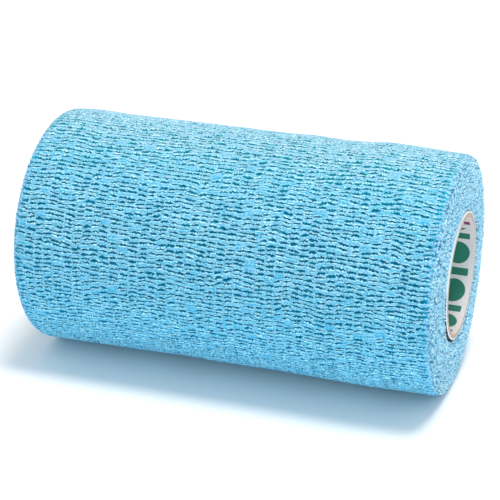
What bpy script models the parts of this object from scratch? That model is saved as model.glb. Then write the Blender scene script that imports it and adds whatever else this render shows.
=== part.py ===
"""A cohesive bandage wound on a paperboard core, lying on its side.

The roll's axis runs along X, and Z = 0 is the surface that the roll lies on. The origin is under
the middle of the roll. An angle is measured round the axis from +Y, the back, towards +Z, so that
90 degrees is the top, 180 the front and 270 the underside.
"""

import math

import bmesh
import bpy
from mathutils import Vector

MM = 0.001

# The wound cloth.
WIDTH = 100.0 * MM  # the outermost turn, from rim to rim
MEAN_RADIUS = 28.45 * MM  # of the outer turn, over its whole way round
CLOTH = 0.55 * MM  # one crinkled layer, which is what the winding rises by in a turn
RIM_ROUND = 1.6 * MM  # the turns' soft edges round off the rim by this
DOMING = 0.8 * MM  # the inner turns stand out past the rim by this at each end
CUT_END_ANGLE = math.radians(-40)  # where the last turn's cut end lies, low at the back
CUT_END_RUN = 0.5 * MM  # how far round the step at the cut end reaches
LIE_FLAT = 0.45 * MM  # how far the roll's weight flattens it underneath

# The paperboard core.
CORE_RADIUS = 15.0 * MM
CORE_WALL = 1.5 * MM
CORE_LENGTH = WIDTH + 2 * DOMING
CORE_GAP = 0.3 * MM  # between the core and the first turn

# Steps round the axis, and points along the rim's curve and across each end face.
ROLL_STEPS = 96
CORE_STEPS = 64
RIM_POINTS = 4
FACE_POINTS = 4

# Uneven winding: how far the turns swell out or sink in along the roll, in millimetres.
SWELLS = (
    # along X, at the top, at the underside
    (-50.0, 0.10, 0.25),
    (-43.0, 0.45, 0.20),
    (-36.0, 0.10, 0.10),
    (-24.0, 0.05, 0.00),
    (-15.0, 0.05, -0.25),
    (-4.0, -0.05, -0.15),
    (4.0, -0.15, -0.20),
    (12.0, 0.05, -0.25),
    (20.0, -0.25, -0.10),
    (25.0, -0.05, 0.00),
    (31.0, 0.38, 0.05),
    (38.0, 0.15, 0.00),
    (45.0, -0.20, -0.20),
    (50.0, -0.40, -0.25),
)

# Colours are linear, and each look is a colour and a roughness.
CLOTH_LOOK = ((0.305, 0.624, 0.831), 0.9)
BOARD_LOOK = ((0.651, 0.514, 0.361), 0.8)
SHARP_ANGLE = math.radians(40)
SAME_ANGLE = 1e-6


def clear_scene():
    for obj in list(bpy.data.objects):
        bpy.data.objects.remove(obj, do_unlink=True)


def material(name, colour, roughness):
    made = bpy.data.materials.new(name)
    made.use_nodes = True
    shader = made.node_tree.nodes["Principled BSDF"]
    shader.inputs["Base Color"].default_value = (*colour, 1.0)
    shader.inputs["Roughness"].default_value = roughness
    return made


def swell_at(x, column):
    """How far the winding stands out at x along the roll, in a smooth line through SWELLS."""
    place = x / MM
    for before, after in zip(SWELLS, SWELLS[1:]):
        if place <= after[0]:
            share = max(0.0, (place - before[0]) / (after[0] - before[0]))
            smooth = share * share * (3 - 2 * share)
            return (before[column] + smooth * (after[column] - before[column])) * MM
    return SWELLS[-1][column] * MM


def stand_out(x, angle):
    """The outer turn's distance from MEAN_RADIUS: the winding's rise, and its swells."""
    turn = (angle - CUT_END_ANGLE) / math.tau % 1.0
    top_share = (1 + math.sin(angle)) / 2
    swell = top_share * swell_at(x, 1) + (1 - top_share) * swell_at(x, 2)
    return CLOTH * (turn - 0.5) + swell


def roll_section():
    """The wound cloth's section as (x, radius) points, once round, from the bore's left end."""
    half, bore = WIDTH / 2, CORE_RADIUS + CORE_GAP
    rim_inner = MEAN_RADIUS - RIM_ROUND
    end = []
    for i in range(FACE_POINTS):
        share = i / FACE_POINTS
        radius = bore + share * (rim_inner - bore)
        end.append((half + DOMING * (1 - share * share), radius))
    for i in range(RIM_POINTS):
        turned = math.pi / 2 * i / RIM_POINTS
        along = half - RIM_ROUND * (1 - math.cos(turned))
        end.append((along, rim_inner + RIM_ROUND * math.sin(turned)))
    side_half = half - RIM_ROUND
    side = [(x * MM, MEAN_RADIUS) for x, _, _ in SWELLS if abs(x * MM) < side_half]
    side = [(-side_half, MEAN_RADIUS), *side, (side_half, MEAN_RADIUS)]
    left = [(-x, radius) for x, radius in end]
    return left + side + end[::-1]


def core_section():
    half, inner = CORE_LENGTH / 2, CORE_RADIUS - CORE_WALL
    return [(-half, inner), (-half, CORE_RADIUS), (half, CORE_RADIUS), (half, inner)]


def turned(section, start, sweep, steps):
    """The section spun about the X axis from the start angle, and closed where it began."""
    mesh = bmesh.new()
    corners = []
    for x, radius in section:
        across = Vector((x, radius * math.cos(start), radius * math.sin(start)))
        corners.append(mesh.verts.new(across))
    edges = []
    for i, corner in enumerate(corners):
        edges.append(mesh.edges.new((corner, corners[(i + 1) % len(corners)])))
    bmesh.ops.spin(
        mesh, geom=corners + edges, cent=(0, 0, 0), axis=(1, 0, 0), angle=sweep, steps=steps
    )
    ends = [edge for edge in mesh.edges if edge.is_boundary]
    bmesh.ops.bridge_loops(mesh, edges=ends)
    bmesh.ops.recalc_face_normals(mesh, faces=mesh.faces[:])
    return mesh


def shape_winding(mesh):
    """Moves the plain ring's points out to the uneven winding, and leaves its bore round."""
    bore = CORE_RADIUS + CORE_GAP
    for vert in mesh.verts:
        x, y, z = vert.co
        radius, angle = math.hypot(y, z), math.atan2(z, y)
        share = (radius - bore) / (MEAN_RADIUS - bore)
        if angle < CUT_END_ANGLE - SAME_ANGLE:
            angle += math.tau
        radius += share * stand_out(x, angle)
        vert.co = (x, radius * math.cos(angle), radius * math.sin(angle))


def add_object(name, mesh, place, look):
    data = bpy.data.meshes.new(name)
    mesh.to_mesh(data)
    mesh.free()
    data.materials.append(look)
    data.shade_smooth()
    data.set_sharp_from_angle(angle=SHARP_ANGLE)
    obj = bpy.data.objects.new(name, data)
    obj.location = place
    bpy.context.collection.objects.link(obj)


def wound_mesh():
    """The wound cloth about its own axis, flattened underneath where it lies."""
    run = CUT_END_RUN / MEAN_RADIUS
    mesh = turned(roll_section(), CUT_END_ANGLE, math.tau - run, ROLL_STEPS - 1)
    shape_winding(mesh)
    underside = LIE_FLAT - MEAN_RADIUS - stand_out(0.0, math.radians(270))
    for vert in mesh.verts:
        vert.co.z = max(vert.co.z, underside)
    return mesh


def core_mesh():
    step = math.tau / CORE_STEPS
    return turned(core_section(), 0.0, math.tau - step, CORE_STEPS - 1)


def resting_place(mesh):
    """Where the mesh's axis goes, so that it lies on Z = 0 with the origin midway across it."""
    across = [vert.co.y for vert in mesh.verts]
    return Vector((0, -(min(across) + max(across)) / 2, -min(v.co.z for v in mesh.verts)))


clear_scene()
cloth = wound_mesh()
axis_place = resting_place(cloth)
add_object("bandage_roll", cloth, axis_place, material("Crinkled cloth", *CLOTH_LOOK))
add_object("core_tube", core_mesh(), axis_place, material("Paperboard", *BOARD_LOOK))
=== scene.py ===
import math

import bpy
import numpy as np
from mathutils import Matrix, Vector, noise
from mathutils.bvhtree import BVHTree


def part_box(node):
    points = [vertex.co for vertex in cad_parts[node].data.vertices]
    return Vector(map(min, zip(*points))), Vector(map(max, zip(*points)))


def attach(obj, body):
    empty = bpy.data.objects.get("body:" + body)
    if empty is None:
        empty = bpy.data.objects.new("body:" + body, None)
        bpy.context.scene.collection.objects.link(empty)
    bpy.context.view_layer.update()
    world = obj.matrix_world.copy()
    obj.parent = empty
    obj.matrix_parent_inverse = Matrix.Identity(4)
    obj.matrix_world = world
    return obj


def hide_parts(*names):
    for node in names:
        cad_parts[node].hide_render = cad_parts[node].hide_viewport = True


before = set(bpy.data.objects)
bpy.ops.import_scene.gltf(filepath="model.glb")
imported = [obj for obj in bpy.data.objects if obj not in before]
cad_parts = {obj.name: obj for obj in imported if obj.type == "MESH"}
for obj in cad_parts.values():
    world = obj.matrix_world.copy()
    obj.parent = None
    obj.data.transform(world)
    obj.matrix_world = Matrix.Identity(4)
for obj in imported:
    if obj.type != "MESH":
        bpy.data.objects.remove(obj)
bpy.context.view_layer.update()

mm = 0.001
coreLow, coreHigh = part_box("core_tube")
axisY = (coreLow.y + coreHigh.y) / 2  # the roll's own axis, which every turn goes round
axisZ = (coreLow.z + coreHigh.z) / 2
coreRadius = (coreHigh.y - coreLow.y) / 2
rollTree = BVHTree.FromObject(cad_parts["bandage_roll"], bpy.context.evaluated_depsgraph_get())

# How the cloth is wound, in metres. Angles go round the axis from the back over the top.
winding = {
    "cutEnd": math.radians(-40),  # where the last turn was cut across, low at the back
    "rimRound": 1.6 * mm,  # how softly the turns go over the rim
    "meanRadius": 28.45 * mm,
    "rayInside": 20 * mm,  # rays that measure the side start this far from the axis
    "rayOutside": 80 * mm,  # and those that measure the ends this far from the roll's middle
}

crinkle = {
    # In millimetres on the flat cloth, across it or along it from its start.
    "thread": 2.35,  # from one elastic thread to the next
    "fold": 1.12,  # from one crosswise pucker to the next
    "strayBy": (2.0, 0.8, 0.0),  # how far each pucker's small detours go, across and along
    "rhythm": 4.5,  # how far along a column its rhythm lasts
    "slackPart": (30.0, 92.0),  # the part over the top of the roll, where the folds lie wider
    "slack": 6.0,  # how many millimetres of folds that part goes without
    "top": 66.0,  # where the furrows gape most
    "gapePart": (4.0, 26.0),  # how far to each side of there that fades out
    "threadPart": (50.0, 100.0),  # where the threads come to show, over the top to the front
    "selvedge": (49.0, 50.4),  # where the puckers die out, from the middle and with the stray added
    "selvedgeStray": 2.4,  # how raggedly they do
    # Noise cells to a millimetre.
    "fibres": 2.0,  # tufts of fibre
    "strays": 1.3,  # the detours
    "drifts": 0.13,  # the slow drift of whole columns
    "patches": 1.0,  # barer patches
    "spots": 1.7,  # speckles on the selvedges
    # In shares of a column, across, and of a fold, along.
    "shifts": (1.5, 1.5, 0.4),  # how far a column's rhythm, the drift and the fibres shift its folds
    "lean": (-0.3, 0.4),  # how far a pucker's one end lies above the other
    "bow": (0.3, -0.8),  # and its ends above its middle
    "middle": (0.34, 0.66),  # where in its fold a pucker lies
    "aside": (-0.15, 0.15),  # how far it lies off its column's middle
    "reach": (0.42, 0.75),  # how far it reaches to each side
    "width": (0.11, 0.165),  # from a furrow's middle to its lips
    "fray": 0.6,  # how far the fibres fray the lips
    "frayBack": 0.31,  # takes the fray's own mean off again
    "lip": 0.07,  # over how much of a fold the ridge rises from the lips
    "crest": (0.22, 0.44, 1.0, 0.2),  # from where to where it falls off again, and how much of it is left
    "pit": (-0.05, 0.06),  # where a furrow and its painted shade end, about its lips
    "hollow": -0.04,  # where the dip round a furrow starts
    "spread": (0.13, 0.25),  # and how far it spreads
    "threadLine": (0.39, 0.48),  # a thread's pale line, from the column's middle
    # Plain shares and powers.
    "taper": 0.45,  # how bluntly a pucker runs out
    "weak": 0.07,  # the share of puckers that are shallower than the rest
    "bare": (0.52, 0.64),  # the patch noise from which the cloth is barer
    "bareFade": -0.15,  # what that takes off the puckers
    "runOut": 0.2,  # how much of a ridge is left where its furrow runs out
    "gape": 1.15,  # how much wider the furrows are where they gape
    "threadShows": 0.15,  # beside a ridge's 1
    "threadLeast": 0.2,  # what is left of that at the back
    "threadRhythm": (0.35, 0.55, 0.45, 1.0),  # and in columns of a looser rhythm
    "speckles": (0.14, 0.38, 0.85, 0.0),  # how far each reaches in its cell, and how dark it is
    # Heights in millimetres, below zero inwards.
    "dip": -0.35,  # of the hollows
    "sink": -0.1,  # of the whole cloth
    "nap": 0.12,  # of the tufts of fibre
    "furrow": -0.25,
}
usualNoise = (0.3, 0.7)  # most of a noise's values lie between these

# Names for the kinds of node and the settings that are used most.
calc = "ShaderNodeMath"
vector = "ShaderNodeVectorMath"
remap = "ShaderNodeMapRange"
cloud = "ShaderNodeTexNoise"
split = "ShaderNodeSeparateXYZ"
join = "ShaderNodeCombineXYZ"
blend = "ShaderNodeMix"
smooth = {"interpolation_type": "SMOOTHSTEP"}
tones = {"data_type": "RGBA"}


def addNode(tree, kind, settings=None, inputs=None):
    # Settings may be just an operation's name, and inputs a list that starts at the first socket.
    node = tree.nodes.new(kind)
    if isinstance(settings, str):
        settings = {"operation": settings}
    for name, value in (settings or {}).items():
        setattr(node, name, value)
    if isinstance(inputs, list):
        inputs = dict(enumerate(inputs))
    for socket, value in (inputs or {}).items():
        if isinstance(value, bpy.types.Node):
            value = next(output for output in value.outputs if output.enabled)
        if isinstance(value, bpy.types.NodeSocket):
            tree.links.new(value, node.inputs[socket])
        else:
            node.inputs[socket].default_value = value
    return node


def colour(code):
    parts = [int(code[i:i + 2], 16) / 255 for i in (1, 3, 5)]
    linear = [p / 12.92 if p <= 0.04045 else ((p + 0.055) / 1.055) ** 2.4 for p in parts]
    return (*linear, 1.0)


def newMaterial(name, roughness):
    material = bpy.data.materials.new(name)
    material.use_nodes = True
    shader = material.node_tree.nodes["Principled BSDF"]
    shader.inputs["Roughness"].default_value = roughness
    return material, material.node_tree, shader


def clothColumns(tree, place):
    # The columns of puckers between the elastic threads, which stray and drift a little.
    fibre = addNode(tree, cloud, None, {
        "Vector": place, "Scale": crinkle["fibres"], "Detail": 2.0, "Roughness": 0.7})
    stray = addNode(tree, cloud, None, {
        "Vector": place, "Scale": crinkle["strays"], "Detail": 3.0, "Roughness": 0.7})
    strayed = addNode(tree, vector, "MULTIPLY_ADD", [stray.outputs["Color"], crinkle["strayBy"], place])
    xyz = addNode(tree, split, None, [strayed])
    drift = addNode(tree, cloud, None, {"Vector": place, "Scale": crinkle["drifts"], "Detail": 1.0})
    column = addNode(tree, calc, "DIVIDE", [xyz.outputs[0], crinkle["thread"]])
    column = addNode(tree, calc, "ADD", [drift, column])
    number = addNode(tree, calc, "FLOOR", [column])
    part = addNode(tree, calc, "SUBTRACT", [addNode(tree, calc, "FRACT", [column]), 0.5])

    # Each column has its own rhythm, which changes slowly along it.
    steps = addNode(tree, calc, "DIVIDE", [xyz.outputs[1], crinkle["rhythm"]])
    beat = addNode(tree, join, None, [number, steps])
    rhythm = addNode(tree, cloud, None, {"Vector": beat, "Scale": 1.0, "Detail": 1.0})
    rhythm = addNode(tree, split, None, [rhythm.outputs["Color"]])

    # number counts the columns, and part goes from -0.5 to 0.5 across each.
    return {"place": place, "strayed": strayed, "along": xyz.outputs[1], "number": number, "part": part,
            "fibre": fibre, "stray": stray, "drift": drift, "rhythm": rhythm.outputs}


def countFolds(tree, cloth):
    # Counts the folds along a column, which crowd, lean and bow in its rhythm.
    slack = addNode(tree, remap, smooth, [
        cloth["along"], *crinkle["slackPart"], 0.0, -crinkle["slack"]])
    folds = addNode(tree, calc, "ADD", [cloth["along"], slack])
    folds = addNode(tree, calc, "DIVIDE", [folds, crinkle["fold"]])
    for source, share in zip((cloth["rhythm"][0], cloth["drift"], cloth["fibre"]), crinkle["shifts"]):
        folds = addNode(tree, calc, "MULTIPLY_ADD", [source, share, folds])
    lean = addNode(tree, remap, None, [cloth["rhythm"][1], *usualNoise, *crinkle["lean"]])
    folds = addNode(tree, calc, "MULTIPLY_ADD", [cloth["part"], lean, folds])
    bow = addNode(tree, remap, None, [cloth["rhythm"][2], *usualNoise, *crinkle["bow"]])
    square = addNode(tree, calc, "MULTIPLY", [cloth["part"], cloth["part"]])
    return addNode(tree, calc, "MULTIPLY_ADD", [square, bow, folds])


def addPuckers(tree, cloth):
    # One pucker to most columns and folds, each with its own place, length, width and depth.
    folds = countFolds(tree, cloth)
    fold = addNode(tree, calc, "FLOOR", [folds])
    dice = addNode(tree, "ShaderNodeTexWhiteNoise", {"noise_dimensions": "2D"}, {
        "Vector": addNode(tree, join, None, [cloth["number"], fold])})
    throw = dice.outputs["Value"]
    throws = addNode(tree, split, None, [dice.outputs["Color"]]).outputs
    middle = addNode(tree, remap, None, [throws[0], 0.0, 1.0, *crinkle["middle"]])
    above = addNode(tree, calc, "SUBTRACT", [addNode(tree, calc, "FRACT", [folds]), middle])
    away = addNode(tree, calc, "ABSOLUTE", [above])
    aside = addNode(tree, remap, None, [throws[1], 0.0, 1.0, *crinkle["aside"]])
    aside = addNode(tree, calc, "SUBTRACT", [cloth["part"], aside])
    reach = addNode(tree, remap, None, [throws[2], 0.0, 1.0, *crinkle["reach"]])
    aside = addNode(tree, calc, "DIVIDE", [aside, reach])
    taper = addNode(tree, calc, "SUBTRACT", [1.0, addNode(tree, calc, "MULTIPLY", [aside, aside])])
    taper = addNode(tree, calc, "MAXIMUM", [taper, 0.0])
    taper = addNode(tree, calc, "POWER", [taper, crinkle["taper"]])

    # Some puckers are shallow, and they fade a little where the cloth is bare.
    patch = addNode(tree, cloud, None, {"Vector": cloth["place"], "Scale": crinkle["patches"], "Detail": 2.0})
    bare = addNode(tree, remap, smooth, [patch, *crinkle["bare"], 0.0, 1.0])
    strength = addNode(tree, remap, None, [throw, 0.0, crinkle["weak"], 0.0, 1.0])
    fading = addNode(tree, calc, "MULTIPLY_ADD", [bare, crinkle["bareFade"], 1.0])
    strength = addNode(tree, calc, "MULTIPLY", [strength, fading])
    taper = addNode(tree, calc, "MULTIPLY", [taper, strength])

    # The furrow's width, and how far past its lips a place lies, first smooth and then frayed.
    width = addNode(tree, remap, None, [throw, 0.2, 1.0, *crinkle["width"]])
    width = addNode(tree, calc, "MULTIPLY", [width, taper])
    fromTop = addNode(tree, calc, "SUBTRACT", [cloth["along"], crinkle["top"]])
    fromTop = addNode(tree, calc, "ABSOLUTE", [fromTop])
    gape = addNode(tree, remap, smooth, [fromTop, *crinkle["gapePart"], crinkle["gape"], 1.0])
    width = addNode(tree, calc, "MULTIPLY", [width, gape])
    past = addNode(tree, calc, "SUBTRACT", [away, width])
    fray = addNode(tree, split, None, [cloth["fibre"].outputs["Color"]])
    frayed = addNode(tree, calc, "MULTIPLY_ADD", [fray.outputs[2], crinkle["fray"], past])
    frayed = addNode(tree, calc, "SUBTRACT", [frayed, crinkle["frayBack"]])

    pit = addNode(tree, remap, smooth, [frayed, *crinkle["pit"], 1.0, 0.0])
    pit = addNode(tree, calc, "MULTIPLY", [pit, taper])
    spread = addNode(tree, remap, None, [throws[2], 0.0, 1.0, *crinkle["spread"]])
    hollow = addNode(tree, remap, smooth, [frayed, crinkle["hollow"], spread, 1.0, 0.0])
    hollow = addNode(tree, calc, "MULTIPLY", [hollow, taper])
    ridge = addNode(tree, remap, smooth, [past, 0.0, crinkle["lip"], 0.0, 1.0])
    crest = addNode(tree, remap, smooth, [away, *crinkle["crest"]])
    ridge = addNode(tree, calc, "MULTIPLY", [ridge, crest])
    beside = addNode(tree, remap, None, [taper, 0.0, 1.0, crinkle["runOut"], 1.0])
    ridge = addNode(tree, calc, "MULTIPLY", [ridge, beside])
    return pit, hollow, ridge, bare


def crinkleField(tree, place):
    # What the crinkles do at a place on the flat cloth, given in mm as x across it and y along it.
    cloth = clothColumns(tree, place)
    pit, hollow, ridge, bare = addPuckers(tree, cloth)

    # The threads draw thin pale lines between the columns in a weak share of the ridges' painted highlight,
    # least where the cloth has its loosest folds.
    across = addNode(tree, calc, "ABSOLUTE", [cloth["part"]])
    thread = addNode(tree, remap, smooth, [across, *crinkle["threadLine"], 0.0, 1.0])
    shows = addNode(tree, remap, None, [
        cloth["along"], *crinkle["threadPart"], crinkle["threadLeast"], 1.0])
    tight = addNode(tree, remap, None, [cloth["rhythm"][2], *crinkle["threadRhythm"]])
    shows = addNode(tree, calc, {"operation": "MULTIPLY", "use_clamp": True}, [shows, tight])
    thread = addNode(tree, calc, "MULTIPLY", [thread, shows])
    between = addNode(tree, calc, "SUBTRACT", [1.0, thread])
    pit = addNode(tree, calc, "MULTIPLY", [pit, between])
    hollow = addNode(tree, calc, "MULTIPLY", [hollow, between])
    thread = addNode(tree, calc, "MULTIPLY", [thread, crinkle["threadShows"]])
    ridge = addNode(tree, calc, "MAXIMUM", [ridge, thread])

    # The puckers die out raggedly before the cloth's edges, which are pale and speckled instead.
    edge = addNode(tree, calc, "ABSOLUTE", [addNode(tree, split, None, [place])])
    edge = addNode(tree, calc, "MULTIPLY_ADD", [cloth["stray"], crinkle["selvedgeStray"], edge])
    selvedge = addNode(tree, remap, smooth, [edge, *crinkle["selvedge"], 0.0, 1.0])
    inside = addNode(tree, calc, "SUBTRACT", [1.0, selvedge])
    spots = addNode(tree, "ShaderNodeTexVoronoi", None, {
        "Vector": cloth["strayed"], "Scale": crinkle["spots"], "Randomness": 1.0})
    spots = addNode(tree, remap, smooth, [spots, *crinkle["speckles"]])
    pit = addNode(tree, calc, "MULTIPLY", [pit, inside])
    pit = addNode(tree, calc, "MULTIPLY_ADD", [spots, selvedge, pit])
    ridge = addNode(tree, calc, "MULTIPLY", [ridge, inside])

    # Heights in millimetres: swell is pressed into the mesh, and depth adds the furrows for the bump.
    swell = addNode(tree, calc, "MULTIPLY_ADD", [hollow, crinkle["dip"], crinkle["sink"]])
    swell = addNode(tree, calc, "MULTIPLY_ADD", [cloth["fibre"], crinkle["nap"], swell])
    depth = addNode(tree, calc, "MULTIPLY_ADD", [pit, crinkle["furrow"], swell])
    return {"swell": swell, "depth": depth, "hollow": hollow, "pit": pit, "ridge": ridge,
            "bare": bare, "fibre": cloth["fibre"], "selvedge": selvedge}


def deselectAll():
    for obj in bpy.context.selected_objects:
        obj.select_set(False)


def flatCloth(name, columns, rows, width, length):
    deselectAll()
    bpy.ops.mesh.primitive_grid_add(x_subdivisions=columns, y_subdivisions=rows, size=1)
    cloth = bpy.context.object
    cloth.name = name
    cloth.scale = (width, length, 1)
    cloth.location = (0, length / 2, 0)
    bpy.ops.object.transform_apply(location=True, rotation=True, scale=True)
    cloth.data.uv_layers[0].name = "OFBake"
    return cloth


def readPoints(cloth):
    points = np.empty(len(cloth.data.vertices) * 3)
    cloth.data.vertices.foreach_get("co", points)
    return points.reshape(-1, 3)


def writePoints(cloth, points):
    cloth.data.vertices.foreach_set("co", points.astype(np.float32).ravel())
    cloth.data.update()


def sideRadius(x, angle):
    # How far the wound turns reach at x along the roll and this angle round it.
    inside = winding["rayInside"]
    start = (x, axisY + inside * math.cos(angle), axisZ + inside * math.sin(angle))
    hit = rollTree.ray_cast(start, (0, math.cos(angle), math.sin(angle)))[0]
    return math.hypot(hit.y - axisY, hit.z - axisZ)


def endFace(side, angle, radius):
    # How far out along the roll its end face is, there.
    y, z = axisY + radius * math.cos(angle), axisZ + radius * math.sin(angle)
    hit = rollTree.ray_cast((side * winding["rayOutside"], y, z), (-side, 0, 0))[0]
    return abs(hit.x)


def smoothNoise(places, pitch, seed):
    # Seeded noise from -1 to 1 along a line, one random value every pitch.
    steps = np.asarray(places) / pitch
    steps = steps - steps.min()
    values = np.random.default_rng(seed).uniform(-1, 1, int(steps.max()) + 3)
    whole = steps.astype(int)
    part = steps - whole
    part = part * part * (3 - 2 * part)
    return values[whole] * (1 - part) + values[whole + 1] * part


# The last turn of the cloth, from where it slips under its own cut end, once round.
outerTurn = {
    "width": 100 * mm,
    "curl": 2.4 * mm,  # the radius that its edges bend down to over the rims
    "tuck": 3 * mm,  # how far its start runs on under the cut end
    "tuckDepth": 0.1 * mm,  # and how much deeper it lies there
    "openAtCut": 0.1 * mm,  # left open between its start and its cut end
    "offFloor": 0.02 * mm,  # how far its lowest puckers stay above the floor
    "offRim": 0.05 * mm,  # its radius is measured this far in from the rims
    "offCut": 0.001,  # and this far round from the step at the cut end, in radians
    "columns": 126,  # about three to a thread
    "rows": 792,
    "body": ("#00749e", "#30b8de"),  # the cloth between its ridges and furrows, by its fibres
    "bodyGrain": (0.32, 0.66),  # the fibre noise of the first and of the second
    # a painted highlight along the ridges
    "ridgeHighlight": "#daffff",
    "ridgeGrain": (0.35, 0.55, 0.85, 1.0),  # the fibres thin the painted ridge highlight a little
    "bare": "#a6c6e4",
    "bareShare": 0.4,
    "selvedges": ("#72b4d8", "#c2e2f2"),
    "selvedgeShare": 0.7,
    "topSheen": "#f6e6e6",
    "topSheenPart": (0.85, 1.0),  # how far up a place faces where the painted sheen begins and where it is full
    "topSheenShare": 0.13,
    "hollowShade": ("#009abe", "#10b0c4"),  # painted shade in the hollows, from the sides to the top of the roll
    "hollowShare": 1.6,
    "furrowShade": ("#005c7a", "#06667e"),  # painted shade in the furrows, likewise
    "furrowShare": 0.97,
    "topPart": (0.65, 0.97),  # how far up a place faces from the first to the second of them
    "below": (0.72, 1.08, 1.2, 1.0),  # a painted cyan tint of bounced light: what the shaded turns' colours are multiplied by
    "belowPart": (0.3, -0.8),
    "bump": 0.34 * mm,
    "sheen": "#ffd0cc",
}
outerTurn["length"] = outerTurn["tuck"] + math.tau * winding["meanRadius"] - outerTurn["openAtCut"]


def pressCrinkles(cloth):
    tree = bpy.data.node_groups.new("pressed crinkles", "GeometryNodeTree")
    tree.interface.new_socket("Geometry", in_out="INPUT", socket_type="NodeSocketGeometry")
    tree.interface.new_socket("Geometry", in_out="OUTPUT", socket_type="NodeSocketGeometry")
    start = addNode(tree, "NodeGroupInput")
    position = addNode(tree, "GeometryNodeInputPosition")
    place = addNode(tree, vector, "SCALE", {0: position, "Scale": 1 / mm})
    field = crinkleField(tree, place)
    lift = addNode(tree, calc, "MULTIPLY", [field["swell"], mm])
    offset = addNode(tree, join, None, {2: lift})
    moved = addNode(tree, "GeometryNodeSetPosition", None, {"Geometry": start, "Offset": offset})
    addNode(tree, "NodeGroupOutput", None, [moved])
    modifier = cloth.modifiers.new("pressed crinkles", "NODES")
    modifier.node_group = tree
    bpy.ops.object.modifier_apply(modifier=modifier.name)


def windOuterTurn(cloth):
    points = readPoints(cloth)
    along, over, lift = points[:, 0].copy(), points[:, 1].copy(), points[:, 2].copy()
    curl = outerTurn["curl"]
    side = outerTurn["width"] / 2 - winding["rimRound"]
    measured = side - outerTurn["offRim"]
    angle = winding["cutEnd"] + (over - outerTurn["tuck"]) / winding["meanRadius"]
    radius = np.empty(len(points))
    for i in range(len(points)):
        x = min(max(along[i], -measured), measured)
        radius[i] = sideRadius(x, max(angle[i], winding["cutEnd"] + outerTurn["offCut"]))
    tucked = np.clip((winding["cutEnd"] - angle) * winding["meanRadius"] / outerTurn["tuck"], 0, 1)
    radius -= tucked * outerTurn["tuckDepth"]
    bend = np.clip(np.abs(along) - side, 0, None) / curl
    flat = bend == 0
    r = np.where(flat, radius + lift, radius - curl + (curl + lift) * np.cos(bend))
    points[:, 0] = np.where(flat, along, np.sign(along) * (side + (curl + lift) * np.sin(bend)))
    points[:, 1] = axisY + r * np.cos(angle)
    points[:, 2] = np.maximum(axisZ + r * np.sin(angle), outerTurn["offFloor"])
    writePoints(cloth, points)


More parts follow.
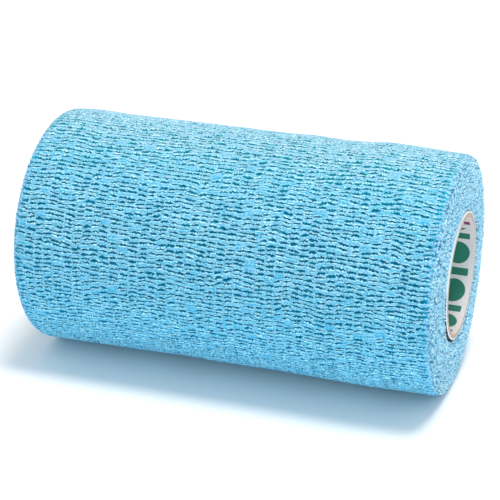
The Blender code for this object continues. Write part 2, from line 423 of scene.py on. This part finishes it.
def clothMaterial():
    # Spun nonwoven stuck over elastic threads with latex: matte and fuzzy. Its furrows and hollows are
    # painted a deep teal for their shade, and its ridges carry a painted highlight.
    material, tree, shader = newMaterial("Crinkled elastic nonwoven", 0.9)
    uv = addNode(tree, "ShaderNodeUVMap", {"uv_map": "OFBake"})
    size = (outerTurn["width"] / mm, outerTurn["length"] / mm, 1.0)
    place = addNode(tree, vector, "MULTIPLY_ADD", [uv, size, (-size[0] / 2, 0.0, 0.0)])
    field = crinkleField(tree, place)
    darker, paler = map(colour, outerTurn["body"])
    grain = addNode(tree, remap, None, [field["fibre"], *outerTurn["bodyGrain"], 0.0, 1.0])
    shade = addNode(tree, blend, tones, {0: grain, 6: darker, 7: paler})
    # A painted highlight along the ridges, thinned a little by the fibres.
    ridgeHighlight = addNode(tree, remap, None, [field["fibre"], *outerTurn["ridgeGrain"]])
    ridgeHighlight = addNode(tree, calc, "MULTIPLY", [field["ridge"], ridgeHighlight])
    shade = addNode(tree, blend, tones, {0: ridgeHighlight, 6: shade, 7: colour(outerTurn["ridgeHighlight"])})
    pale = addNode(tree, calc, "MULTIPLY", [field["bare"], outerTurn["bareShare"]])
    shade = addNode(tree, blend, tones, {0: pale, 6: shade, 7: colour(outerTurn["bare"])})
    darker, paler = map(colour, outerTurn["selvedges"])
    faded = addNode(tree, calc, "MULTIPLY", [field["selvedge"], outerTurn["selvedgeShare"]])
    fuzz = addNode(tree, blend, tones, {0: grain, 6: darker, 7: paler})
    shade = addNode(tree, blend, tones, {0: faded, 6: shade, 7: fuzz})

    # How far up a place on the wound cloth faces, from -1 under the roll to 1 on top of it.
    over = addNode(tree, split, None, [place])
    start = winding["cutEnd"] - outerTurn["tuck"] / winding["meanRadius"]
    turned = addNode(tree, calc, "MULTIPLY_ADD", [over.outputs[1], mm / winding["meanRadius"], start])
    upward = addNode(tree, calc, "SINE", [turned])

    # A painted sheen pales the turns that face up, and the shaded ones below keep a deeper colour under a
    # painted cyan tint of bounced light.
    topSheen = addNode(tree, remap, None, [upward, *outerTurn["topSheenPart"], 0.0, outerTurn["topSheenShare"]])
    shade = addNode(tree, blend, tones, {0: topSheen, 6: shade, 7: colour(outerTurn["topSheen"])})
    # Painted shade fills the hollows and the furrows, a little paler and greener where the roll faces up.
    high = addNode(tree, remap, None, [upward, *outerTurn["topPart"], 0.0, 1.0])
    aside, onTop = map(colour, outerTurn["hollowShade"])
    teal = addNode(tree, blend, tones, {0: high, 6: aside, 7: onTop})
    hollowShade = addNode(tree, calc, {"operation": "MULTIPLY", "use_clamp": True}, [
        field["hollow"], outerTurn["hollowShare"]])
    shade = addNode(tree, blend, tones, {0: hollowShade, 6: shade, 7: teal})
    aside, onTop = map(colour, outerTurn["furrowShade"])
    furrow = addNode(tree, blend, tones, {0: high, 6: aside, 7: onTop})
    dark = addNode(tree, calc, "MULTIPLY", [field["pit"], outerTurn["furrowShare"]])
    shade = addNode(tree, blend, tones, {0: dark, 6: shade, 7: furrow})
    below = addNode(tree, remap, None, [upward, *outerTurn["belowPart"], 0.0, 1.0])
    shade = addNode(tree, blend, {**tones, "blend_type": "MULTIPLY"}, {
        0: below, 6: shade, 7: outerTurn["below"]})
    bump = addNode(tree, "ShaderNodeBump", None, {
        "Height": field["depth"], "Distance": outerTurn["bump"], "Strength": 1.0})
    tree.links.new(shade.outputs[2], shader.inputs["Base Color"])
    tree.links.new(bump.outputs[0], shader.inputs["Normal"])
    shader.inputs["IOR"].default_value = 1.45
    shader.inputs["Specular IOR Level"].default_value = 0.02
    shader.inputs["Sheen Weight"].default_value = 0.15
    shader.inputs["Sheen Tint"].default_value = colour(outerTurn["sheen"])
    shader.inputs["Sheen Roughness"].default_value = 0.4
    return material


def makeOuterTurn():
    length = outerTurn["length"]
    cloth = flatCloth("outer_turn", outerTurn["columns"], outerTurn["rows"], outerTurn["width"], length)
    pressCrinkles(cloth)
    windOuterTurn(cloth)
    cloth.data.shade_smooth()
    cloth.data.materials.append(clothMaterial())
    return cloth


# The edges of the turns below, seen at each end of the roll as one long spiral.
turnEdges = {
    "turns": 23,
    "step": 0.145 * mm,  # from point to point along the cloth's edge
    "firstRadius": 15.42 * mm,
    "lastInside": 0.6 * mm,  # how far inside the outer turn the last of them lies
    "measuredAt": 47 * mm,  # where along the roll the outer turn is measured for that
    "profile": (  # depth below the edge's top, and sideways from it
        (1.5 * mm, -0.23 * mm),
        (0.12 * mm, -0.18 * mm),
        (0.0, 0.0),
        (0.12 * mm, 0.18 * mm),
        (1.5 * mm, 0.23 * mm),
    ),
    "wave": 0.15 * mm,  # how far the edges wave to and fro
    "wavePitch": 0.85 * mm,
    "waveDrift": (1.2, 3 * mm),  # how many waves they drift by, and over what length
    "waveShare": (0.7, 0.5, 5 * mm),  # the usual share of that, how much it varies and over what length
    "shiver": (0.05 * mm, 0.6 * mm),  # a finer wave's height and pitch
    "standOut": 0.15 * mm,  # how far they stand out past the solid's end
    "ragged": 0.15 * mm,  # how unevenly they end
    "raggedPitches": (0.5 * mm, 14 * mm),
    "crest": 0.14 * mm,  # how far each crinkle's edge stands out and sinks in by itself
    "crestDrift": (2, 2 * mm),  # by how many radians it is out of step with the waves, and over what
    "relief": 0.42 * mm,  # how far neighbouring edges do so together
    "reliefPitch": (28, 1 / (0.6 * mm)),  # noise cells to a radian round the roll, and to a metre outwards
    "border": 2 * mm,  # over this much, the first and the last turns lie calmer
    "calm": (0.6, 0.5),  # by this share of their relief
    "keepBack": 0.5 * mm,  # how far the first turns keep back from the core's end
    "keepBackMore": 0.4 * mm,  # and how much more round the next angle
    "keepBackAt": math.radians(205),
    "hollowShade": (0.08, 1.9),  # how deep the relief is where its painted shade starts, and how strongly it darkens
    "betweenCrests": 0.12,  # and how much a crinkle's sunken edges do
    "fuzz": ("#6cbadc", "#ccecf6"),
    "fuzzGrain": (0.35, 0.65),
    "specks": 1.8 / mm,  # noise cells to a metre
    "gapShade": "#0a6c8c",
    "gapDepths": (0.12, 0.6, 0.0, 0.88),  # from which to which depth they darken, and how far
}


def makeTurnEdges(name, side, seed):
    turns = turnEdges["turns"]
    first = turnEdges["firstRadius"]
    last = winding["meanRadius"] - turnEdges["lastInside"]
    pitch = (last - first) / turns
    length = math.pi * turns * (first + last)
    rows = int(length / turnEdges["step"])
    profile = np.array(turnEdges["profile"])
    cloth = flatCloth(name, len(profile) - 1, rows, 1.0, length)
    cloth.data.uv_layers.remove(cloth.data.uv_layers[0])
    points = readPoints(cloth)
    across = np.rint((points[:, 0] + 0.5) * (len(profile) - 1)).astype(int)
    row = np.rint(points[:, 1] / length * rows).astype(int)

    # The spiral's angle and radius for each row of points, up to the outer turn's own uneven radius.
    run = np.linspace(0, length, rows + 1)
    turned = (np.sqrt(first ** 2 + pitch * run / math.pi) - first) * math.tau / pitch
    angle = winding["cutEnd"] + turned
    share = turned / (math.tau * turns)
    lastTurn = angle[angle >= angle[-1] - math.tau]
    reach = np.array([sideRadius(side * turnEdges["measuredAt"], a) for a in lastTurn])
    around = np.interp((angle - lastTurn[0]) % math.tau, lastTurn - lastTurn[0], reach)
    radius = first + share * (around - turnEdges["lastInside"] - first)

    # The edges wave to and fro between their neighbours.
    drift, driftPitch = turnEdges["waveDrift"]
    usual, swing, swingPitch = turnEdges["waveShare"]
    shiver, shiverPitch = turnEdges["shiver"]
    wavePhase = math.tau * (run / turnEdges["wavePitch"] + drift * smoothNoise(run, driftPitch, seed))
    height = usual + swing * smoothNoise(run, swingPitch, seed + 1)
    wave = turnEdges["wave"] * (np.sin(wavePhase) * height)
    wave += shiver * smoothNoise(run, shiverPitch, seed + 2)

    # And they end unevenly, each crinkle by itself and neighbours together.
    top = np.array([endFace(side, a, r) for a, r in zip(angle, radius)])
    top += turnEdges["standOut"]
    short, long = turnEdges["raggedPitches"]
    top += turnEdges["ragged"] * (smoothNoise(run, short, seed + 3) + smoothNoise(run, long, seed + 4)) / 2
    roundRoll, turnToTurn = turnEdges["reliefPitch"]
    relief = np.array([
        noise.noise((roundRoll * math.cos(a), roundRoll * math.sin(a), turnToTurn * r))
        for a, r in zip(angle, radius)])
    border = turnEdges["border"]
    calmFirst, calmLast = turnEdges["calm"]
    clear = np.clip((radius - first) / border, 0, 1)
    level = (1 - calmFirst + calmFirst * clear) * (1 - calmLast * np.clip((radius - last) / border + 1, 0, 1))
    back = np.clip(np.cos(angle - turnEdges["keepBackAt"]), 0, 1)
    back = turnEdges["keepBack"] + turnEdges["keepBackMore"] * back
    top += turnEdges["relief"] * relief * level - back * (1 - clear)
    drift, driftPitch = turnEdges["crestDrift"]
    crests = np.sin(wavePhase + drift * smoothNoise(run, driftPitch, seed + 5))
    top += turnEdges["crest"] * crests

    r = radius[row] + wave[row] + profile[across, 1]
    points[:, 0] = side * (top[row] - profile[across, 0])
    points[:, 1] = axisY + r * np.cos(angle[row])
    points[:, 2] = axisZ + r * np.sin(angle[row])
    writePoints(cloth, points)
    if side < 0:
        cloth.data.flip_normals()

    # How deep between the edges each point lies, which sets the painted shade in the gaps.
    hollowFrom, hollowShare = turnEdges["hollowShade"]
    depth = cloth.data.attributes.new("depthInGap", "FLOAT", "POINT")
    sunk = profile[across, 0] / profile[:, 0].max()
    sunk += np.clip(-relief[row] - hollowFrom, 0, 1) * hollowShare
    sunk += turnEdges["betweenCrests"] * (1 - crests[row])
    depth.data.foreach_set("value", sunk.astype(np.float32))
    cloth.data.shade_smooth()
    return cloth


def edgeMaterial():
    # The same nonwoven at its edges: paler fuzz at the tips, and painted teal shade deep in the gaps between
    # turns.
    material, tree, shader = newMaterial("Cut edges of elastic nonwoven", 0.9)
    gap = addNode(tree, "ShaderNodeAttribute", {"attribute_name": "depthInGap"})
    spot = addNode(tree, "ShaderNodeTexCoord")
    speck = addNode(tree, cloud, None, {
        "Vector": spot.outputs["Object"], "Scale": turnEdges["specks"], "Detail": 1.0})
    fuzz = addNode(tree, remap, None, [speck, *turnEdges["fuzzGrain"], 0.0, 1.0])
    darker, paler = map(colour, turnEdges["fuzz"])
    shade = addNode(tree, blend, tones, {0: fuzz, 6: darker, 7: paler})
    deep = addNode(tree, remap, None, [gap.outputs["Fac"], *turnEdges["gapDepths"]])
    shade = addNode(tree, blend, tones, {0: deep, 6: shade, 7: colour(turnEdges["gapShade"])})
    tree.links.new(shade.outputs[2], shader.inputs["Base Color"])
    shader.inputs["Sheen Weight"].default_value = 0.3
    return material


# What shows in the gaps between the turns' edges.
woundBody = {
    "inner": 15.1 * mm,
    "outer": 27.2 * mm,
    "half": 48.3 * mm,
    "sides": 96,
    "tones": ("#14688a", "#3f9ab8"),
    "specks": 1.5 / mm,  # noise cells to a metre
}


def ring(name, inner, outer, half, sides):
    # A plain tube round the roll's axis.
    deselectAll()
    bpy.ops.mesh.primitive_cylinder_add(
        vertices=sides, radius=outer, depth=2 * half, end_fill_type="NOTHING",
        location=(0, axisY, axisZ), rotation=(0, math.pi / 2, 0))
    made = bpy.context.object
    made.name = name
    bpy.ops.object.transform_apply(location=True, rotation=True, scale=True)
    wall = made.modifiers.new("wall", "SOLIDIFY")
    wall.thickness = outer - inner
    wall.offset = -1
    bpy.ops.object.modifier_apply(modifier=wall.name)
    return made


def makeWoundBody():
    body = ring("wound_body", woundBody["inner"], woundBody["outer"], woundBody["half"], woundBody["sides"])
    # Layer on layer of the same nonwoven, pressed flat: dull, and dark for want of light.
    material, tree, shader = newMaterial("Nonwoven deep in the winding", 1.0)
    spot = addNode(tree, "ShaderNodeTexCoord")
    speck = addNode(tree, cloud, None, {
        "Vector": spot.outputs["Object"], "Scale": woundBody["specks"], "Detail": 2.0})
    darker, paler = map(colour, woundBody["tones"])
    shade = addNode(tree, blend, tones, {0: speck, 6: darker, 7: paler})
    tree.links.new(shade.outputs[2], shader.inputs["Base Color"])
    body.data.materials.append(material)
    return body


paperCore = {
    "wall": 1.5 * mm,
    "bevel": 0.12 * mm,
    "sides": 160,
    "board": ("#a0826c", "#ccb6a6"),
    "linerTint": ("#cfc5c5", "#e0d8d8"),
    "outerPly": "#f4f2f4",
    "green": "#006d56",
    "plum": "#7a1e63",
    # painted shadow specks where the core comes out of the cloth
    "shadowSpecks": "#2a1e20",
    "fibre": 1.6,  # noise cells to a millimetre
    "discs": 9,  # printed round the liner, with as many bars between them
    "squareAt": -42 / 360,  # share of a turn
    # In millimetres.
    "liner": 0.08,  # how thick the liner is
    "ply": 0.3,  # and the pale outermost ply
    "boardPly": 0.2,  # and each of the board's plies between
    "plyWander": 0.25,  # how far those stray in and out
    "shadowSpecked": 0.2,  # how far in from the outside the painted shadow specks reach
    "shadowSpeckLow": (-12.0, -15.0),  # and where they start, from the axis to the front and down
    "shadowSpeckDepth": (0.08, 0.2, -0.25, 0.12),  # few at the core's very end, more from the second depth on
    "shadowSpeckEdge": (0.5, 0.54),  # how sharp they are
    "disc": (2.9, 2.9, 2.9),  # half its length round the liner, half its width in, and its corners
    "bar": (0.9, 2.9, 0.3),
    "square": (0.8, 0.7, 0.2),
    "rowIn": 4.0,  # how deep in the core the discs and bars lie
    "squareIn": 1.5,
    "squareClear": 2.4,  # nothing green is nearer to the square's middle, round the liner
}


def printPattern(tree, paper, turned, depth, bore):
    # Green discs and bars by turns round the liner, and one plum square where the pattern meets.
    clear = None
    discs, rowIn = paperCore["discs"], paperCore["rowIn"]
    for perTurn, shift, shape, middle, ink in (
        (1, paperCore["squareAt"], "square", paperCore["squareIn"], "plum"),
        (discs, 0.0, "disc", rowIn, "green"),
        (discs, 0.5, "bar", rowIn, "green"),
    ):
        halfLength, halfWidth, corner = paperCore[shape]
        shift = shift + 1.0  # a whole turn more, so that place stays above zero
        place = addNode(tree, calc, "MULTIPLY_ADD", [turned, perTurn / math.tau, shift])
        off = addNode(tree, calc, "PINGPONG", [place, 0.5])
        off = addNode(tree, calc, "MULTIPLY", [off, math.tau * bore / perTurn])
        clear = clear or addNode(tree, calc, "GREATER_THAN", [off, paperCore["squareClear"]])
        down = addNode(tree, calc, "SUBTRACT", [depth, middle])
        down = addNode(tree, calc, "ABSOLUTE", [down])
        past = addNode(tree, join, None, [off, down])
        past = addNode(tree, vector, "SUBTRACT", [past, (halfLength - corner, halfWidth - corner, 0.0)])
        past = addNode(tree, vector, "MAXIMUM", [past, (0.0, 0.0, 0.0)])
        past = addNode(tree, vector, "LENGTH", [past]).outputs["Value"]
        printed = addNode(tree, calc, "LESS_THAN", [past, corner])
        if shape != "square":
            printed = addNode(tree, calc, "MULTIPLY", [printed, clear])
        paper = addNode(tree, blend, tones, {0: printed, 6: paper, 7: colour(paperCore[ink])})
    return paper


def boardMaterial(half):
    # Grey-brown board wound from plies, with a white paper liner that carries a plain printed pattern.
    material, tree, shader = newMaterial("Wound paperboard with a printed liner", 0.65)
    outside = coreRadius / mm
    bore = (coreRadius - paperCore["wall"]) / mm
    spot = addNode(tree, "ShaderNodeTexCoord")
    centred = addNode(tree, vector, "MULTIPLY_ADD", [
        spot.outputs["Object"], (1 / mm, 1 / mm, 1 / mm), (0.0, -axisY / mm, -axisZ / mm)])
    x, y, z = addNode(tree, split, None, [centred]).outputs
    flat = addNode(tree, join, None, [y, z])
    radius = addNode(tree, vector, "LENGTH", [flat]).outputs["Value"]
    turned = addNode(tree, calc, "ARCTAN2", [z, y])
    depth = addNode(tree, calc, "SUBTRACT", [half / mm, addNode(tree, calc, "ABSOLUTE", [x])])

    fibre = addNode(tree, cloud, None, {
        "Vector": centred, "Scale": paperCore["fibre"], "Detail": 3.0, "Roughness": 0.7})
    layers = addNode(tree, calc, "MULTIPLY_ADD", [fibre, paperCore["plyWander"], radius])
    layers = addNode(tree, calc, "PINGPONG", [layers, paperCore["boardPly"]])
    layers = addNode(tree, remap, smooth, [layers, 0.0, paperCore["boardPly"], 0.0, 1.0])
    darker, paler = map(colour, paperCore["board"])
    board = addNode(tree, blend, tones, {0: layers, 6: darker, 7: paler})
    darker, paler = map(colour, paperCore["linerTint"])
    paper = addNode(tree, blend, tones, {0: fibre, 6: darker, 7: paler})
    paper = printPattern(tree, paper, turned, depth, bore)
    liner = addNode(tree, calc, "LESS_THAN", [radius, bore + paperCore["liner"]])
    ply = addNode(tree, calc, "GREATER_THAN", [radius, outside - paperCore["ply"]])
    shade = addNode(tree, blend, tones, {0: liner, 6: board, 7: paper})
    shade = addNode(tree, blend, tones, {0: ply, 6: shade, 7: colour(paperCore["outerPly"])})

    # Painted shadow in dark specks low on the front of the core, just where it comes out of the cloth.
    low = addNode(tree, calc, "ADD", [y, z])
    low = addNode(tree, remap, smooth, [low, *paperCore["shadowSpeckLow"], 0.0, 1.0])
    outermost = addNode(tree, calc, "GREATER_THAN", [radius, outside - paperCore["shadowSpecked"]])
    shadowSpeck = addNode(tree, remap, smooth, [depth, *paperCore["shadowSpeckDepth"]])
    shadowSpeck = addNode(tree, calc, "ADD", [shadowSpeck, fibre])
    shadowSpeck = addNode(tree, remap, smooth, [shadowSpeck, *paperCore["shadowSpeckEdge"], 0.0, 1.0])
    shadowSpeck = addNode(tree, calc, "MULTIPLY", [shadowSpeck, low])
    shadowSpeck = addNode(tree, calc, "MULTIPLY", [shadowSpeck, outermost])
    shade = addNode(tree, blend, tones, {0: shadowSpeck, 6: shade, 7: colour(paperCore["shadowSpecks"])})
    tree.links.new(shade.outputs[2], shader.inputs["Base Color"])
    return material


def makeCore():
    half = (coreHigh.x - coreLow.x) / 2
    core = ring("paper_core", coreRadius - paperCore["wall"], coreRadius, half, paperCore["sides"])
    soften = core.modifiers.new("soft ends", "BEVEL")
    soften.width = paperCore["bevel"]
    soften.segments = 2
    soften.angle_limit = math.radians(50)
    bpy.ops.object.modifier_apply(modifier=soften.name)
    bpy.ops.object.shade_smooth_by_angle(angle=math.radians(40))
    core.data.materials.append(boardMaterial(half))
    return core


# A plain pale floor, a soft light nearly overhead, a cool fill low in front and the photo's view.
studio = {
    "floorSize": 8.0,
    "floorColour": "#f6f5f5",
    "softbox": {
        "place": (0.14, 0.0, 1.0), "shape": "DISK",
        "size": 0.3, "power": 6.7, "colour": (1.0, 0.93, 0.86)},
    "fill": {
        "place": (0.45, -0.9, 0.12), "shape": "SQUARE",
        "size": 0.8, "power": 4.5, "colour": (0.45, 0.9, 1.0)},
    "skyColour": (0.84, 0.92, 1.0, 1.0),
    "skyStrength": 0.82,
    "lens": 117.9,
    "cameraPlace": (0.11975, -0.34240, 0.18057),
    "cameraPitch": 22.900,  # degrees down
    "cameraYaw": 19.427,  # and to the left
}


def addLight(name):
    settings = studio[name]
    bpy.ops.object.light_add(type="AREA", location=settings["place"])
    light = bpy.context.object
    light.name = name
    light.rotation_euler = light.location.to_track_quat("Z", "Y").to_euler()
    light.data.shape = settings["shape"]
    light.data.size = settings["size"]
    light.data.energy = settings["power"]
    light.data.color = settings["colour"]


def makeStudio():
    deselectAll()
    bpy.ops.mesh.primitive_plane_add(size=studio["floorSize"])
    floor = bpy.context.object
    floor.name = "floor"
    # White paper without a coating: matte, so the shadow lies on it softly and nothing mirrors.
    material, _, shader = newMaterial("Matte white paper sweep", 0.9)
    shader.inputs["Base Color"].default_value = colour(studio["floorColour"])
    shader.inputs["Specular IOR Level"].default_value = 0.1
    floor.data.materials.append(material)

    addLight("softbox")
    addLight("fill")
    world = bpy.data.worlds.new("studio")
    bpy.context.scene.world = world
    world.use_nodes = True
    background = world.node_tree.nodes["Background"]
    background.inputs["Color"].default_value = studio["skyColour"]
    background.inputs["Strength"].default_value = studio["skyStrength"]

    bpy.ops.object.camera_add(location=studio["cameraPlace"], rotation=(
        math.radians(90 - studio["cameraPitch"]), 0, math.radians(studio["cameraYaw"])))
    camera = bpy.context.object
    camera.data.sensor_width = 36
    camera.data.lens = studio["lens"]
    camera.data.clip_start = 0.01
    bpy.context.scene.camera = camera
    bpy.context.scene.view_settings.view_transform = "Standard"


makeStudio()
print("studio made")

outer = makeOuterTurn()
print("outer turn wound,", len(outer.data.polygons), "faces")
edges = edgeMaterial()
rightEdges = makeTurnEdges("turn_edges_right", 1, 11)
leftEdges = makeTurnEdges("turn_edges_left", -1, 23)
for piece in (rightEdges, leftEdges):
    piece.data.materials.append(edges)
print("turns' edges wound,", len(rightEdges.data.polygons), "faces each")
body = makeWoundBody()
print("wound body made")
core = makeCore()
print("core made")

for piece in (outer, rightEdges, leftEdges, body):
    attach(piece, "root")
    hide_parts("bandage_roll")
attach(core, "root")
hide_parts("core_tube")
